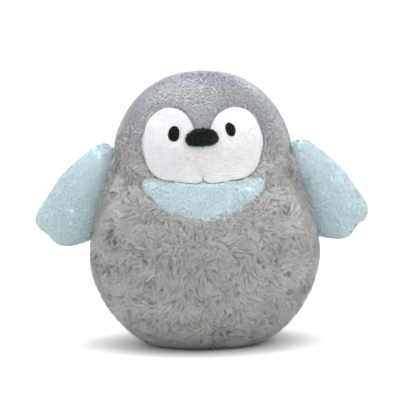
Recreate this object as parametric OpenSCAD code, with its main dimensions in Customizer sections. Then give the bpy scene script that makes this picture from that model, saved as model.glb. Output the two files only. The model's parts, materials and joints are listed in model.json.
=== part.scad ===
// Plush baby penguin: a round stuffed body with the head in one piece with it, an inlaid
// velour face, a fleece chest patch and two padded wings that swing on their root seams.
// Z is up, the face looks along -Y, and the origin is the middle of the flat base.
// Left and right are the penguin's own, so its left wing is on the +X side.

/* [Body] */
// Radius of the belly, measured at the tips of its pile
belly_r = 57.4; // [57:0.1:58]
// Height of the belly's centre above the base
belly_z = 49; // [48.5:0.1:49.5]
// Radius of the head, measured at the tips of its pile
head_r = 45; // [44.5:0.1:45.5]
// Height of the head's centre above the base
head_z = 92.8; // [92:0.1:94]
// Radius of the hollow curve between belly and head
neck_r = 60; // [58:1:64]
// Height of the seam between head and body
neck_seam_z = 98; // [97:0.5:99]
// Thickness of the grey plush, pile included
plush_t = 6.5; // [6.3:0.1:7]
// Radius of the round base panel
base_r = 28; // [27:0.5:29]
// Thickness of the base panel, pile included
base_t = 4; // [3:0.5:4.5]

/* [Face] */
// Height of the middle of the face
face_z = 104; // [103:0.5:105]
// Turn of the eyes and the beak on the head, in degrees, the toy's left side up
feature_tilt = 3; // [0:0.5:4]
// Depth of the face's surface below the tips of the grey pile
face_depth = 1.5; // [1.2:0.1:1.8]
// Thickness of the face velour with its padding
velour_t = 2.5; // [2:0.1:3]
// Distance of each eye from the middle of the face
eye_x = 14.2; // [13:0.1:15]
// Height of the eyes above the middle of the face
eye_up = 6.7; // [6:0.1:7.5]
// Width of an eye
eye_w = 5.6; // [5:0.1:6]
// Height of an eye
eye_h = 7; // [6.5:0.1:8]
// Thickness of the eye embroidery
eye_t = 0.6; // [0.4:0.1:0.8]
// Width of the beak
beak_w = 16.6; // [15:0.1:18]
// Height of the beak
beak_h = 9.4; // [8.5:0.1:10]
// Height of the beak above the middle of the face
beak_up = 4.1; // [4:0.1:5.5]
// Thickness of the beak's cover
beak_cover_t = 1; // [0.8:0.1:1.4]

/* [Chest patch] */
// Radius of the patch's lower edge
patch_r = 41.7; // [40:0.1:43]
// Half of the patch's width
patch_half_w = 31; // [30:0.1:32]
// Height of the patch's lowest point
patch_low_z = 68.2; // [67:0.1:70]
// Height of the patch's upper corners
patch_top_z = 88; // [87:0.5:90]
// Depth of the patch's surface below the tips of the grey pile
patch_depth = 1; // [0.5:0.1:1.5]

/* [Wings] */
// Distance of the middle of each wing's hinge line from the centre
hinge_x = 48.7; // [48.6:0.1:49]
// Height of the middle of each wing's hinge line
hinge_z = 74; // [73.5:0.5:74.5]
// Outward lean of the hinge line towards its lower end, in degrees
hinge_lean = 15; // [14.5:0.5:15.5]
// Length of the rolled root seam that the wing turns on
root_len = 42; // [38:1:43]
// Radius of the rolled root seam
root_r = 1.2; // [1.1:0.05:1.25]
// Clearance round the rolled seam inside its stitches
root_play = 0.05; // [0.03:0.01:0.1]
// Half of a wing's thickness at its fullest
wing_half_t = 9; // [8:0.5:9.5]
// Thickness of the wing's fleece, pile included
fleece_t = 3.2; // [3:0.1:3.6]

/* [Inside] */
// Radius of the pellet pouch
pouch_r = 30; // [28:1:31]
// Height of the pellet pouch
pouch_h = 18; // [16:1:20]
// Thickness of the pouch cloth
pouch_t = 0.8; // [0.6:0.1:1]

/* [Hidden] */

head_grey = "#a4a8b0";
body_grey = "#9a9896";
aqua = "#b9dbe2";
white = "#eeeef2";
black = "#1b1d20";
thread_grey = "#85868a";
fibre_white = "#f4f4f1";

arc_step = 5;       // degrees between the points of an outline
far = 80;           // reaches past the body from its middle
fill_gap = 0.6;     // slack between the plush panels and the stuffing
inner_gap = 0.2;    // slack round the small fillings

// The hollow curve touches the belly and the head, so its centre lies on both offsets.
belly_reach = belly_r + neck_r;
head_reach = head_r + neck_r;
neck_rise = (belly_reach * belly_reach - head_reach * head_reach
    + (head_z - belly_z) * (head_z - belly_z)) / (2 * (head_z - belly_z));
neck_centre = [sqrt(belly_reach * belly_reach - neck_rise * neck_rise), belly_z + neck_rise];
belly_to_neck = atan2(neck_centre.y - belly_z, neck_centre.x);
head_to_neck = atan2(neck_centre.y - head_z, neck_centre.x);

// Discs [x, z, r] that the outline of half the face wraps, about the face's middle:
// chin, cheek, side, upper lobe and the corner beside the beak
face_discs = [
    [4.5, -12, 6], [18, -6, 10.7], [15.5, 0, 14.3], [16, 6, 11.8], [4.5, -3.5, 5.2]
];

// Discs [x, z, r] of the wing in its own plane, where the hinge line is x = 0:
// root, tip, middle and shoulder of the arm, then the rounded lobe below it
arm_discs = [[7, -16, 5], [25, -17.5, 6], [12, 0, 12], [7.5, 17.5, 7.5]];
lobe_discs = [[8, -18, 6.5], [15.5, -19.8, 8.4], [14, -8, 8]];
wing_middle = [13, -3];     // where the wing is thickest
wing_crown_r = 70;          // radius of its crowned faces
wing_wedge = 35;            // half angle of the thin wedge at the root
wing_wedge_x = 3;           // where that wedge starts
web_t = 1;                  // the sewn seam allowance between root seam and wing
web_end_x = 6.5;
wing_h = 40;                // more than the wing's half height

bed_x = 1.2;                // the plush is pressed flat this far outside the hinge line
bed_half_w = 20;
bed_low_z = -30;
bed_high_z = 27;
groove_r = 2;               // seam groove that the root lies in
groove_half_angle = 78;
stitch_h = 0.8;
stitch_gap = 0.4;           // free space between a stitch and the web
stitch_pitch = 9;
stitch_count = 5;

beak_seat_depth = 3;        // the beak presses the pile down to this depth
beak_y = -41.5;

thread_t = 0.45;
closing_low_z = 34;
closing_pitch = 4;
closing_count = 6;
label_z = 16;
label_y = 44.5;
label_size = [0.9, 12.6, 8];
pouch_mid_z = 15;

// Direction of the outward normal along the straight run from disc a to disc b
function run_normal(a, b) =
    let (d = [b.x - a.x, b.y - a.y])
    atan2(d.y, d.x) - acos((a.z - b.z) / norm(d));

// Points of a circular arc, without its first or last point where asked
function arc(centre, r, from, to, skip = 0) =
    let (steps = ceil(abs(to - from) / arc_step))
    [for (k = [skip : steps - skip])
        let (a = from + (to - from) * k / steps)
        [centre.x + r * cos(a), centre.y + r * sin(a)]];

// Outline of a belt pulled tight round discs listed anticlockwise, drawn in by an inset
function belt(discs, inset = 0) =
    let (n = len(discs))
    [for (i = [0 : n - 1])
        let (
            here = discs[i],
            start = run_normal(discs[(i + n - 1) % n], here),
            end = run_normal(here, discs[(i + 1) % n]),
            turn = (end - start + 720) % 360
        )
        each arc([here.x, here.y], here.z - inset, start, start + turn)];

// Half outline of head and body at a depth below the tips of the pile, above a height
function profile(depth, bottom) =
    concat(
        [[0, bottom]],
        arc([0, belly_z], belly_r - depth, asin((bottom - belly_z) / (belly_r - depth)),
            belly_to_neck),
        arc(neck_centre, neck_r + depth, 180 + belly_to_neck, 180 + head_to_neck, 1),
        arc([0, head_z], head_r - depth, head_to_neck, 90)
    );

// Points of an upright half ellipse for turned shapes
function half_ellipse(r, half_h, mid_z) =
    [for (a = [-90 : arc_step : 90]) [r * cos(a), mid_z + half_h * sin(a)]];

module turned(depth, bottom) {
    rotate_extrude($fn = 96)
        polygon(profile(depth, bottom));
}

// Section of the plush shell between two heights
module shell_section(low, high) {
    intersection() {
        difference() {
            polygon(profile(0, 0));
            polygon(profile(plush_t, base_t));
            square([base_r, base_t]);
        }
        translate([0, low])
            square([far, high - low]);
    }
}

// Turned panel of the shell, starting from +X and going round towards +Y
module shell_sector(low, high, start, sweep) {
    rotate([0, 0, start])
        rotate_extrude(angle = sweep, $fn = 96)
            shell_section(low, high);
}

// Carries an X-Z outline from the middle of the body out through the front
module through_front() {
    rotate([90, 0, 0])
        linear_extrude(far)
            children();
}

// Places the eyes, which are turned a little on the head
module turned_on_face() {
    translate([0, face_z])
        rotate(feature_tilt)
            children();
}

module half_face(side, inset = 0) {
    translate([0, face_z])
        mirror([side < 0 ? 1 : 0, 0])
            intersection() {
                polygon(belt(face_discs, inset));
                translate([0, -far / 2])
                    square([far, far]);
            }
}

module whole_face(inset = 0) {
    half_face(1, inset);
    half_face(-1, inset);
}

module patch_outline() {
    difference() {
        intersection() {
            translate([0, patch_low_z + patch_r])
                circle(patch_r, $fn = 96);
            translate([-patch_half_w, patch_top_z - far])
                square([2 * patch_half_w, far]);
        }
        whole_face();
    }
}

module eye_outline(side) {
    turned_on_face()
        translate([side * eye_x, eye_up])
            polygon(belt([[0, -(eye_h - eye_w) / 2, eye_w / 2], [0, (eye_h - eye_w) / 2, eye_w / 2]]));
}

// Oval beak form, lying along X
module beak_form(inset = 0) {
    translate([0, beak_y, face_z])
        rotate([0, -feature_tilt, 0])
            translate([0, 0, beak_up])
                rotate([0, 90, 0])
                    rotate_extrude($fn = 48)
                        polygon(half_ellipse(beak_h / 2 - inset, beak_w / 2 - inset, 0));
}

// Moves a shape from the wing's own plane to its hinge on one side of the body
module at_hinge(side) {
    mirror([side < 0 ? 1 : 0, 0, 0])
        translate([hinge_x, 0, hinge_z])
            rotate([0, -hinge_lean, 0])
                children();
}

// Room that the plush panels leave for one wing: a pressed bed and the seam groove
module wing_bed(side) {
    at_hinge(side) {
        translate([bed_x, -bed_half_w, bed_low_z])
            cube([far, 2 * bed_half_w, bed_high_z - bed_low_z]);
        translate([0, 0, -root_len / 2 - 1])
            cylinder(r = groove_r, h = root_len + 2, $fn = 48);
        translate([0, 0, -root_len / 2 - 1])
            linear_extrude(root_len + 2)
                polygon([
                    [0, 0],
                    [2 * bed_x, -2 * bed_x * tan(groove_half_angle)],
                    [2 * bed_x, 2 * bed_x * tan(groove_half_angle)]
                ]);
    }
}

module wing_beds() {
    wing_bed(1);
    wing_bed(-1);
}

// Padded form of a wing, drawn in by an inset on every side
module wing_form(inset = 0) {
    intersection() {
        rotate([90, 0, 0])
            translate([0, 0, -wing_h / 2])
                linear_extrude(wing_h)
                    union() {
                        polygon(belt(arm_discs, inset));
                        polygon(belt(lobe_discs, inset));
                    }
        wing_crown(1, inset);
        wing_crown(-1, inset);
    }
}

// Ball whose surface is the crowned front or back of the wing
module wing_crown(facing, inset) {
    translate([wing_middle.x, -facing * (wing_crown_r - wing_half_t), wing_middle.y])
        sphere(r = wing_crown_r - inset, $fn = 96);
}

// Wedge that thins the wing towards its root
module root_wedge(inset = 0) {
    wedge_x = wing_wedge_x + inset / sin(wing_wedge);
    wedge_half_w = (wing_h - wedge_x) * tan(wing_wedge);
    translate([0, 0, -wing_h])
        linear_extrude(2 * wing_h)
            polygon([[wedge_x, 0], [wing_h, -wedge_half_w], [wing_h, wedge_half_w]]);
}

module web_slab(play = 0) {
    translate([0, -web_t / 2 - play, -root_len / 2])
        cube([web_end_x + play, web_t + 2 * play, root_len]);
}

// Half of a wing's fleece cover: facing -1 is the front, facing 1 is the back
module wing_panel(side, facing) {
    color(aqua)
        at_hinge(side)
            difference() {
                intersection() {
                    wing_form();
                    root_wedge();
                    translate([0, facing < 0 ? -wing_h : 0, -wing_h])
                        cube([wing_h, wing_h, 2 * wing_h]);
                }
                intersection() {
                    wing_form(fleece_t);
                    root_wedge(fleece_t);
                }
                web_slab();
            }
}

module wing_filling(side) {
    color(fibre_white)
        at_hinge(side)
            difference() {
                intersection() {
                    wing_form(fleece_t + inner_gap);
                    root_wedge(fleece_t + inner_gap);
                }
                web_slab(inner_gap);
            }
}

// The wing's seam allowances, rolled at the edge that is sewn into the body's side seam
module wing_root_seam(side) {
    color(aqua)
        at_hinge(side)
            union() {
                translate([0, 0, -root_len / 2])
                    cylinder(r = root_r, h = root_len, $fn = 48);
                difference() {
                    web_slab();
                    for (z = stitch_heights())
                        translate([-root_r, -web_t, z - stitch_h / 2 - stitch_gap])
                            cube([root_r + groove_r + stitch_gap, 2 * web_t,
                                stitch_h + 2 * stitch_gap]);
                }
            }
}

function stitch_heights() =
    [for (i = [0 : stitch_count - 1]) (i - (stitch_count - 1) / 2) * stitch_pitch];

// Loops of thread in the side seam that hold the wing's rolled edge
module wing_stitches(side) {
    color(thread_grey)
        at_hinge(side)
            for (z = stitch_heights())
                translate([0, 0, z - stitch_h / 2])
                    difference() {
                        cylinder(r = groove_r, h = stitch_h, $fn = 48);
                        translate([0, 0, -stitch_h])
                            cylinder(r = root_r + root_play, h = 3 * stitch_h, $fn = 48);
                    }
}

module head_front_panel() {
    color(head_grey)
        difference() {
            shell_sector(neck_seam_z, 2 * far, 180, 180);
            through_front()
                whole_face();
            beak_form();
            wing_beds();
        }
}

module head_back_panel(side) {
    color(head_grey)
        difference() {
            shell_sector(neck_seam_z, 2 * far, side > 0 ? 0 : 90, 90);
            wing_bed(side);
        }
}

module body_front_panel() {
    color(body_grey)
        difference() {
            shell_sector(0, neck_seam_z, 180, 180);
            through_front() {
                whole_face();
                patch_outline();
            }
            wing_beds();
        }
}

module body_back_panel(side) {
    color(body_grey)
        difference() {
            shell_sector(0, neck_seam_z, side > 0 ? 0 : 90, 90);
            wing_bed(side);
            closing_rods();
            label_block();
        }
}

module base_panel() {
    color(body_grey)
        cylinder(r = base_r, h = base_t, $fn = 96);
}

module face_panel(side) {
    color(white)
        difference() {
            intersection() {
                turned(face_depth, base_t);
                through_front()
                    half_face(side);
            }
            turned(face_depth + velour_t, base_t + velour_t);
            beak_form();
        }
}

module chest_patch() {
    color(aqua)
        difference() {
            intersection() {
                turned(patch_depth, base_t);
                through_front()
                    patch_outline();
            }
            turned(plush_t, base_t);
        }
}

module eye(side) {
    color(black)
        difference() {
            intersection() {
                turned(face_depth - eye_t, base_t);
                through_front()
                    eye_outline(side);
            }
            turned(face_depth, base_t);
        }
}

module beak_cover() {
    color(black)
        difference() {
            beak_form();
            beak_form(beak_cover_t);
            turned(beak_seat_depth, base_t);
        }
}

module beak_filling() {
    color(fibre_white)
        difference() {
            beak_form(beak_cover_t + inner_gap);
            turned(beak_seat_depth, base_t);
        }
}

module body_stuffing() {
    color(fibre_white)
        difference() {
            union() {
                turned(plush_t + fill_gap, base_t + fill_gap);
                intersection() {
                    turned(face_depth + velour_t + inner_gap, base_t + fill_gap);
                    through_front()
                        whole_face(fill_gap);
                }
            }
            rotate_extrude($fn = 96)
                polygon(half_ellipse(pouch_r + inner_gap, pouch_h / 2 + inner_gap, pouch_mid_z));
        }
}

module pellet_pouch() {
    color("#d9d4c4")
        rotate_extrude($fn = 96)
            difference() {
                polygon(half_ellipse(pouch_r, pouch_h / 2, pouch_mid_z));
                polygon(half_ellipse(pouch_r - pouch_t, pouch_h / 2 - pouch_t, pouch_mid_z));
            }
}

module pellets() {
    pellet_inset = pouch_t + inner_gap;
    color("#e8e6df")
        rotate_extrude($fn = 96)
            polygon(half_ellipse(pouch_r - pellet_inset, pouch_h / 2 - pellet_inset, pouch_mid_z));
}

// Thread of the neck, side and back seams, a net that lies between panels and stuffing
module panel_seam_thread() {
    color(thread_grey)
        difference() {
            intersection() {
                turned(plush_t, base_t);
                union() {
                    translate([-far, -thread_t, 0])
                        cube([2 * far, 2 * thread_t, 2 * far]);
                    translate([-thread_t, 0, 0])
                        cube([2 * thread_t, far, 2 * far]);
                    translate([-far, -far, neck_seam_z - thread_t])
                        cube([2 * far, 2 * far, 2 * thread_t]);
                }
            }
            turned(plush_t + thread_t, base_t - thread_t);
            through_front()
                whole_face(-fill_gap);
        }
}

// Rods of thread across the back seam, where the stuffing hole is closed by hand
module closing_rods() {
    rod_r = 0.35;
    rod_len = 6;
    rod_depth = 5.6;
    for (i = [0 : closing_count - 1]) {
        z = closing_low_z + i * closing_pitch;
        y = sqrt(pow(belly_r - rod_depth, 2) - pow(z - belly_z, 2));
        translate([-rod_len / 2, y, z])
            rotate([0, 90, 0])
                cylinder(r = rod_r, h = rod_len, $fn = 24);
    }
}

module closing_stitches() {
    color(thread_grey)
        closing_rods();
}

module label_block() {
    translate([-label_size.x / 2, label_y, label_z])
        cube(label_size);
}

// Blank folded ribbon, caught in the lower end of the back seam
module care_label() {
    color("#f2f1ee")
        label_block();
}

head_front_panel();
head_back_panel(1);  // head_back_left_panel
head_back_panel(-1);  // head_back_right_panel
body_front_panel();
body_back_panel(1);  // body_back_left_panel
body_back_panel(-1);  // body_back_right_panel
base_panel();
face_panel(1);  // face_left_panel
face_panel(-1);  // face_right_panel
chest_patch();
eye(1);  // left_eye
eye(-1);  // right_eye
beak_cover();
beak_filling();
wing_panel(1, -1);  // left_wing_front_panel
wing_panel(1, 1);  // left_wing_back_panel
wing_filling(1);  // left_wing_filling
wing_root_seam(1);  // left_wing_root_seam
wing_stitches(1);  // left_wing_stitches
wing_panel(-1, -1);  // right_wing_front_panel
wing_panel(-1, 1);  // right_wing_back_panel
wing_filling(-1);  // right_wing_filling
wing_root_seam(-1);  // right_wing_root_seam
wing_stitches(-1);  // right_wing_stitches
body_stuffing();
pellet_pouch();
pellets();
panel_seam_thread();
closing_stitches();
care_label();
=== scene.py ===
import json
import math
from dataclasses import dataclass, replace

import bmesh
import bpy
import numpy as np
from mathutils import Matrix, Vector, kdtree


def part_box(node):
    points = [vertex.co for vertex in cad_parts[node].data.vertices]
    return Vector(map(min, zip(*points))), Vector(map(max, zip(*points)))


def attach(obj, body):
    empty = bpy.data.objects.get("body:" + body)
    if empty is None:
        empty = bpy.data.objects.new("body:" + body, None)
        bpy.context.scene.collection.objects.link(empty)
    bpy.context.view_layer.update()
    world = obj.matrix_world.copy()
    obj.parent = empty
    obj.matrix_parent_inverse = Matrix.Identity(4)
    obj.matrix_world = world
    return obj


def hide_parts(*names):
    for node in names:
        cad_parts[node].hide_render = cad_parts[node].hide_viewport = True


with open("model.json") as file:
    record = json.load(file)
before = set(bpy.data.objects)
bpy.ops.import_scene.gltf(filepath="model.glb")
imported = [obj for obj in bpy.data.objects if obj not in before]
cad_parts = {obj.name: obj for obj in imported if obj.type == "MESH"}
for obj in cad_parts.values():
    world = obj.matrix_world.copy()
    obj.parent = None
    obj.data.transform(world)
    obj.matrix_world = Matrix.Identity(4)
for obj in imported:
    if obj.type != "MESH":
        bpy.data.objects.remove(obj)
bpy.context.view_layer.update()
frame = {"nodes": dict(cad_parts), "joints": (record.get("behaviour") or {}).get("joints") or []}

MM = 0.001
BODY = "body"
SIDES = ((1, "left"), (-1, "right"))

# ---- sizes shared with the frame

TOP_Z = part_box("head_front_panel")[1].z
BELLY_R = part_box("body_back_left_panel")[1].y
NECK_SEAM_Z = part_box("head_back_left_panel")[0].z
BELLY_Z = 49 * MM
HEAD_R = 45 * MM
HEAD_Z = TOP_Z - HEAD_R
NECK_R = 60 * MM

FACE_Z = 104 * MM
FEATURE_TILT = math.radians(3)
EYE_X, EYE_UP = 14.2 * MM, 6.7 * MM
EYE_W, EYE_H = 5.8 * MM, 7 * MM
BEAK_UP = 4.1 * MM
BEAK_W, BEAK_H = 16.6 * MM, 9.4 * MM
PATCH_R, PATCH_HALF_W = 41.7 * MM, 31 * MM
PATCH_LOW_Z, PATCH_TOP_Z = 68.2 * MM, 88 * MM

JOINTS = {joint["name"]: joint for joint in frame["joints"]}
HINGE = np.array(JOINTS["left_wing_swing"]["pos_m"])
HINGE_DOWN = np.array(JOINTS["left_wing_swing"]["axis"])

# Discs [x, z, r] that the outlines wrap, in millimetres, as on the frame's own parts. The face
# is 1 mm fuller than there at the top and the sides, where the grey pile hangs over its edge.
FACE_DISCS = [
    [4.5, -12, 6], [18.6, -5.6, 11.0], [16, 0.3, 14.9], [16.6, 6.6, 12.3], [4.5, -3.5, 5.2],
]
ARM_DISCS = [[1.6, -17.5, 2.6], [25, -17.5, 6], [12.3, 0.5, 12.2], [5.6, 21.3, 5.6]]
LOBE_DISCS = [[8, -18, 6.5], [15.5, -19.8, 8.4], [14, -8, 8]]

# ---- small tools


def unit(vectors):
    return vectors / np.maximum(np.linalg.norm(vectors, axis=-1, keepdims=True), 1e-12)


def smoothstep(low, high, x):
    t = np.clip((x - low) / (high - low), 0, 1)
    return t * t * (3 - 2 * t)


WAVES = 14


def wave_noise(seed, wavelength, channels=1):
    """A smooth, seeded noise made of plane waves: points (n, 3) to values (n, channels)."""
    rng = np.random.default_rng(seed)
    directions = unit(rng.normal(size=(channels, WAVES, 3)))
    waves = directions * (2 * math.pi / wavelength * rng.uniform(0.6, 1.5, (channels, WAVES, 1)))
    phases = rng.uniform(0, 2 * math.pi, (channels, WAVES))
    gain = math.sqrt(2 / WAVES)

    def sample(points):
        values = [np.sin(points @ k.T + phase).sum(1) * gain for k, phase in zip(waves, phases)]
        return np.stack(values, axis=1)

    return sample


def link(name, mesh):
    piece = bpy.data.objects.new(name, mesh)
    bpy.context.scene.collection.objects.link(piece)
    return piece


def new_piece(name, vertices, faces, material=None):
    mesh = bpy.data.meshes.new(name)
    mesh.from_pydata(np.asarray(vertices).tolist(), [], [tuple(map(int, f)) for f in faces])
    mesh.validate()
    shape = bmesh.new()
    shape.from_mesh(mesh)
    bmesh.ops.recalc_face_normals(shape, faces=shape.faces)
    shape.to_mesh(mesh)
    shape.free()
    mesh.update()
    mesh.polygons.foreach_set("use_smooth", [True] * len(mesh.polygons))
    if material:
        mesh.materials.append(material)
    return link(name, mesh)


ARC_STEP = 4  # degrees between the points of an outline's round corner


def belt(discs, inset=0.0):
    """Closed outline in metres of a belt pulled tight round discs, listed anticlockwise."""
    count = len(discs)

    def run_normal(a, b):
        dx, dz = b[0] - a[0], b[1] - a[1]
        return math.degrees(math.atan2(dz, dx) - math.acos((a[2] - b[2]) / math.hypot(dx, dz)))

    points = []
    for i, (x, z, r) in enumerate(discs):
        start = run_normal(discs[i - 1], discs[i])
        turn = (run_normal(discs[i], discs[(i + 1) % count]) - start) % 360
        for a in np.radians(np.linspace(start, start + turn, max(2, int(turn / ARC_STEP) + 1))):
            points.append([x + (r - inset) * math.cos(a), z + (r - inset) * math.sin(a)])
    return np.array(points) * MM


def resample(outline, count):
    """The closed outline as evenly spaced points."""
    closed = np.vstack([outline, outline[:1]])
    steps = np.linalg.norm(np.diff(closed, axis=0), axis=1)
    along = np.concatenate([[0], np.cumsum(steps)])
    at = np.linspace(0, along[-1], count, endpoint=False)
    return np.stack([np.interp(at, along, closed[:, k]) for k in range(outline.shape[1])], axis=1)


def runs_of(outline):
    """Start and end of each run of a closed outline."""
    return zip(outline, np.roll(outline, -1, axis=0))


def edge_distance(points, outline):
    """Distance of each 2-D point to a closed outline."""
    best = np.full(len(points), np.inf)
    for start, end in runs_of(outline):
        run = end - start
        t = np.clip(((points - start) @ run) / max(run @ run, 1e-18), 0, 1)
        best = np.minimum(best, np.linalg.norm(points - start - t[:, None] * run, axis=1))
    return best


def inside(points, outline):
    """Which 2-D points lie in a closed outline."""
    x, z = points[:, 0], points[:, 1]
    result = np.zeros(len(points), bool)
    for (x0, z0), (x1, z1) in runs_of(outline):
        crosses = (z0 > z) != (z1 > z)
        at = x0 + (z - z0) / (z1 - z0 if z1 != z0 else 1e-12) * (x1 - x0)
        result ^= crosses & (x < at)
    return result


def ring_faces(number):
    """Quads between the rings of a closed grid of vertex numbers."""
    ahead = np.roll(number, -1, axis=1)
    return np.stack([number[:-1], ahead[:-1], ahead[1:], number[1:]], 2).reshape(-1, 4)


def grid_faces(grid, cells=None):
    """Quads of a closed grid (rings, spokes, 3): those of the chosen cells, or all."""
    rings, spokes = grid.shape[:2]
    quads = ring_faces(np.arange(rings * spokes).reshape(rings, spokes))
    return quads if cells is None else quads[cells.ravel()]


# ---- the stuffed form


def arc(centre, radius, start, end, count, outward=1):
    """Points and outward normals of an arc of the outline, as rows (r, z, nr, nz)."""
    a = np.linspace(start, end, count)
    c, s = np.cos(a), np.sin(a)
    return np.stack([centre[0] + radius * c, centre[1] + radius * s, outward * c, outward * s], 1)


REACH_BELLY, REACH_HEAD = BELLY_R + NECK_R, HEAD_R + NECK_R
RISE = HEAD_Z - BELLY_Z
NECK_RISE = (REACH_BELLY**2 - REACH_HEAD**2 + RISE**2) / (2 * RISE)
NECK_CENTRE = (math.sqrt(REACH_BELLY**2 - NECK_RISE**2), BELLY_Z + NECK_RISE)
BELLY_TO_NECK = math.atan2(NECK_CENTRE[1] - BELLY_Z, NECK_CENTRE[0])
HEAD_TO_NECK = math.atan2(NECK_CENTRE[1] - HEAD_Z, NECK_CENTRE[0])
BASE_EDGE = math.asin(-BELLY_Z / BELLY_R)


def envelope(belly, neck, head):
    """Outline of the pile's tips from the base's edge to the crown, with this many steps."""
    return np.vstack([
        arc((0, BELLY_Z), BELLY_R, BASE_EDGE, BELLY_TO_NECK, belly + 1)[:-1],
        arc(NECK_CENTRE, NECK_R, math.pi + BELLY_TO_NECK, math.pi + HEAD_TO_NECK, neck + 1,
            -1)[:-1],
        arc((0, HEAD_Z), HEAD_R, HEAD_TO_NECK, math.pi / 2, head + 1),
    ])


FINE_OUTLINE = envelope(400, 120, 300)


def at_height(z):
    """Radius and outward normal (nr, nz) of the pile's tips at a height."""
    return [np.interp(z, FINE_OUTLINE[:, 1], FINE_OUTLINE[:, k]) for k in (0, 2, 3)]


def front_surface(points, depth):
    """Points of the front at given (x, z) of the frame, and their outward normals."""
    r, nr, nz = at_height(points[:, 1])
    y = -np.sqrt(np.maximum(r**2 - points[:, 0] ** 2, 1e-9))
    normals = unit(np.stack([points[:, 0] / r * nr, y / r * nr, nz], 1))
    place = np.stack([points[:, 0], y, points[:, 1]], 1)
    return place - normals * np.reshape(depth, (-1, 1)), normals


def turned_on_face(outline):
    """Places eyes and beak, which are turned a little about the face's middle."""
    c, s = math.cos(FEATURE_TILT), math.sin(FEATURE_TILT)
    return outline @ np.array([[c, s], [-s, c]]) + [0, FACE_Z]


def half_face_outline(side):
    half = belt(FACE_DISCS)
    half[:, 0] = np.maximum(half[:, 0], 0)
    if side < 0:
        half = half[::-1] * [-1, 1]
    return resample(half, 200) + [0, FACE_Z]


FACE_OUTLINES = {side: half_face_outline(side) for side in (1, -1)}


def patch_outline():
    """Outline of the chest patch: a disc's lower part under a straight upper edge."""
    middle = PATCH_LOW_Z + PATCH_R
    reach = math.asin(PATCH_HALF_W / PATCH_R)
    a = np.linspace(-math.pi / 2 - reach, -math.pi / 2 + reach, 90)
    lower = np.stack([PATCH_R * np.cos(a), middle + PATCH_R * np.sin(a)], 1)
    chamfer = 2 * MM
    corners = np.array([
        [PATCH_HALF_W + chamfer / 2, PATCH_TOP_Z - chamfer],
        [PATCH_HALF_W - chamfer / 2, PATCH_TOP_Z],
        [chamfer - PATCH_HALF_W, PATCH_TOP_Z], [-PATCH_HALF_W, PATCH_TOP_Z - chamfer],
    ])
    return resample(np.vstack([lower, corners]), 260)


PATCH_OUTLINE = patch_outline()
FACES = tuple(FACE_OUTLINES.values())
INLAYS = (*FACES, PATCH_OUTLINE)


def inlay_distance(points, outlines):
    """Distance across the front from points of the form to the nearest of some outlines."""
    flat = points[:, [0, 2]]
    nearest = np.min([edge_distance(flat, outline) for outline in outlines], axis=0)
    return np.where(points[:, 1] < 0, nearest, 1.0)


CLOTH_FRAMES = 20
CLOTH = {
    "quality": 6, "mass": 0.01, "tension_stiffness": 15.0, "compression_stiffness": 15.0,
    "shear_stiffness": 5.0, "bending_stiffness": 0.5, "use_pressure": True,
    "vertex_group_mass": "seams",
}
BODY_PRESSURE, WING_PRESSURE = 4500.0, 4000.0
PUFF_CAP = 1.6 * MM


def inflate(name, grid, pinned, pressure):
    """Puffs a sewn form out with Blender's cloth and air pressure, no further than the cap.

    grid (rings, spokes, 3) runs from pole to pole; pinned (rings, spokes) marks its seams.
    """
    rings, spokes = grid.shape[:2]
    # One vertex stands for the whole first ring and one for the last.
    vertices = np.vstack([grid[0, :1], grid[1:-1].reshape(-1, 3), grid[-1, :1]])
    number = np.arange(rings * spokes).reshape(rings, spokes) - spokes + 1
    number[0], number[-1] = 0, len(vertices) - 1
    faces = [list(dict.fromkeys(face)) for face in ring_faces(number).tolist()]
    scene = bpy.context.scene
    piece = new_piece(name, vertices, faces)
    group = piece.vertex_groups.new(name="seams")
    group.add(np.unique(number[pinned]).tolist(), 1.0, "REPLACE")
    cloth = piece.modifiers.new("cloth", "CLOTH")
    for setting, value in CLOTH.items():
        setattr(cloth.settings, setting, value)
    cloth.settings.uniform_pressure_force = pressure
    cloth.settings.effector_weights.gravity = 0
    cloth.collision_settings.use_collision = False
    scene.frame_start, scene.frame_end = 1, CLOTH_FRAMES
    cloth.point_cache.frame_start, cloth.point_cache.frame_end = 1, CLOTH_FRAMES
    for step in range(1, CLOTH_FRAMES + 1):
        scene.frame_set(step)
    shaped = piece.evaluated_get(bpy.context.evaluated_depsgraph_get()).data
    result = np.empty(len(vertices) * 3)
    shaped.vertices.foreach_get("co", result)
    result = result.reshape(-1, 3)
    bpy.data.objects.remove(piece)
    scene.frame_set(1)
    move = result - vertices
    reach = np.linalg.norm(move, axis=1, keepdims=True)
    print(f"{name}: cloth moved {reach.max() / MM:.2f} mm, median {np.median(reach) / MM:.2f} mm")
    return (vertices + move * np.minimum(1, PUFF_CAP / np.maximum(reach, 1e-9)))[number]


def smooth_rows(grid, factor, closed):
    """Catmull-Rom refinement of a grid along its first axis."""
    count = len(grid)
    index = np.arange(count if closed else count - 1)

    def row(k):
        return grid[k % count] if closed else grid[np.clip(k, 0, count - 1)]

    p0, p1, p2, p3 = row(index - 1), row(index), row(index + 1), row(index + 2)
    parts = [
        0.5 * (2 * p1 + (p2 - p0) * t + (2 * p0 - 5 * p1 + 4 * p2 - p3) * t**2
               + (3 * p1 - p0 - 3 * p2 + p3) * t**3)
        for t in (k / factor for k in range(factor))
    ]
    fine = np.stack(parts, 1).reshape(-1, *grid.shape[1:])
    return fine if closed else np.concatenate([fine, grid[-1:]])


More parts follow.
